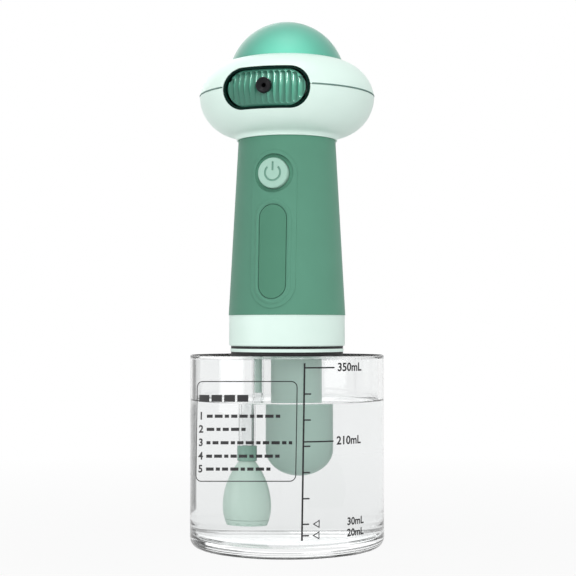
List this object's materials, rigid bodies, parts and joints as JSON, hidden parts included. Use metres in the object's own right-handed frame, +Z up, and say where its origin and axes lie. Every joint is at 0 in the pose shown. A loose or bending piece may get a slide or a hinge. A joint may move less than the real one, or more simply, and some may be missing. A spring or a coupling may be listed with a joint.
{
  "type": "pet bath foam machine",
  "caption": "Handheld foam machine: domed disc head with a fluted nozzle window, tapered handle with a power button, and a clear screw-on jar with dip tube and intake filter.",
  "frame": {"origin": "centre of the jar's base, on the table", "axes": "+Z up along the jar and handle axis, -Y towards the nozzle and the power button"},
  "size_m": [0.084, 0.084, 0.2273],
  "materials": {
    "clear_plastic": "clear, polished",
    "mint_plastic": "pale mint, fine satin",
    "green_plastic": "mid green, satin",
    "teal_plastic": "teal green, glossy",
    "button_plastic": "light green, satin",
    "sage_plastic": "sage green, satin",
    "pale_sage_plastic": "pale sage, satin",
    "dark_green_plastic": "very dark green, satin",
    "black_plastic": "black, satin",
    "black_rubber": "black, dull",
    "silicone": "milky",
    "green_silicone": "mid green, dull",
    "grey_plastic": "grey, satin",
    "white_plastic": "white, satin",
    "steel": "bright",
    "motor_can": "plated",
    "board": "green lacquer",
    "cell_wrap": "shrink wrap",
    "foam_pad": "closed foam"
  },
  "bodies": {
    "jar": {"jar": "clear_plastic", "jar_base": "clear_plastic", "jar_shoulder": "clear_plastic", "neck_ring": "mint_plastic", "root_seal": "black_rubber"},
    "seal": {"collar_gasket": "black_rubber"},
    "machine": {"dip_tube": "clear_plastic", "collar": "mint_plastic", "bulkhead": "mint_plastic", "head_lower": "mint_plastic", "head_upper": "mint_plastic", "handle_shell": "green_plastic", "grip_inlay": "green_plastic", "dome": "teal_plastic", "nozzle_panel": "teal_plastic", "pod": "sage_plastic", "inlet_barb": "sage_plastic", "tube_coupling": "sage_plastic", "intake_filter": "pale_sage_plastic", "filter_foot": "pale_sage_plastic", "nozzle_bezel": "dark_green_plastic", "nozzle": "black_plastic", "tact_switch": "black_plastic", "neck_seal": "silicone", "vent_valve": "silicone", "inlet_hose": "silicone", "outlet_hose": "silicone", "chassis": "grey_plastic", "pump_cover": "white_plastic", "pump_body": "white_plastic", "foam_chamber": "white_plastic", "neck_screws": "steel", "head_screws": "steel", "idler_pin": "steel", "charge_socket": "steel", "foam_mesh": "steel", "motor": "motor_can", "switch_board": "board", "charge_board": "board", "battery_cell": "cell_wrap", "cell_pad": "foam_pad"},
    "button": {"power_button": "button_plastic", "switch_plunger": "black_plastic"},
    "cover": {"port_cover": "green_silicone"},
    "rotor": {"drive_gear": "white_plastic", "motor_shaft": "steel"},
    "idler": {"idler_gear": "white_plastic"}
  },
  "joints": [
    {"name": "jar_twist", "type": "hinge", "parent": "jar", "child": "seal", "pos_m": [0, 0, 0.0864], "axis": [0, 0, 1], "range_deg": [0, 360]},
    {"name": "machine_lift", "type": "slide", "parent": "seal", "child": "machine", "axis": [0, 0, 1], "range_m": [0, 0.09]},
    {"name": "button_press", "type": "slide", "parent": "machine", "child": "button", "axis": [0, 0.9985, -0.0553], "range_m": [0, 0.0008], "stiffness_N_per_m": 1200, "springref_m": -0.0004},
    {"name": "cover_hinge", "type": "hinge", "parent": "machine", "child": "cover", "pos_m": [0, 0.02217, 0.157], "axis": [-1, 0, 0], "range_deg": [0, 110]},
    {"name": "pump_drive", "type": "hinge", "parent": "machine", "child": "rotor", "pos_m": [0.001, 0.0053, 0.1149], "axis": [0, 0, 1], "continuous": true},
    {"name": "pump_idler", "type": "hinge", "parent": "machine", "child": "idler", "pos_m": [0.001, -0.0053, 0.1149], "axis": [0, 0, 1], "continuous": true}
  ],
  "couplings": [
    {"joint": "pump_idler", "follows": "pump_drive", "ratio": -1}
  ]
}
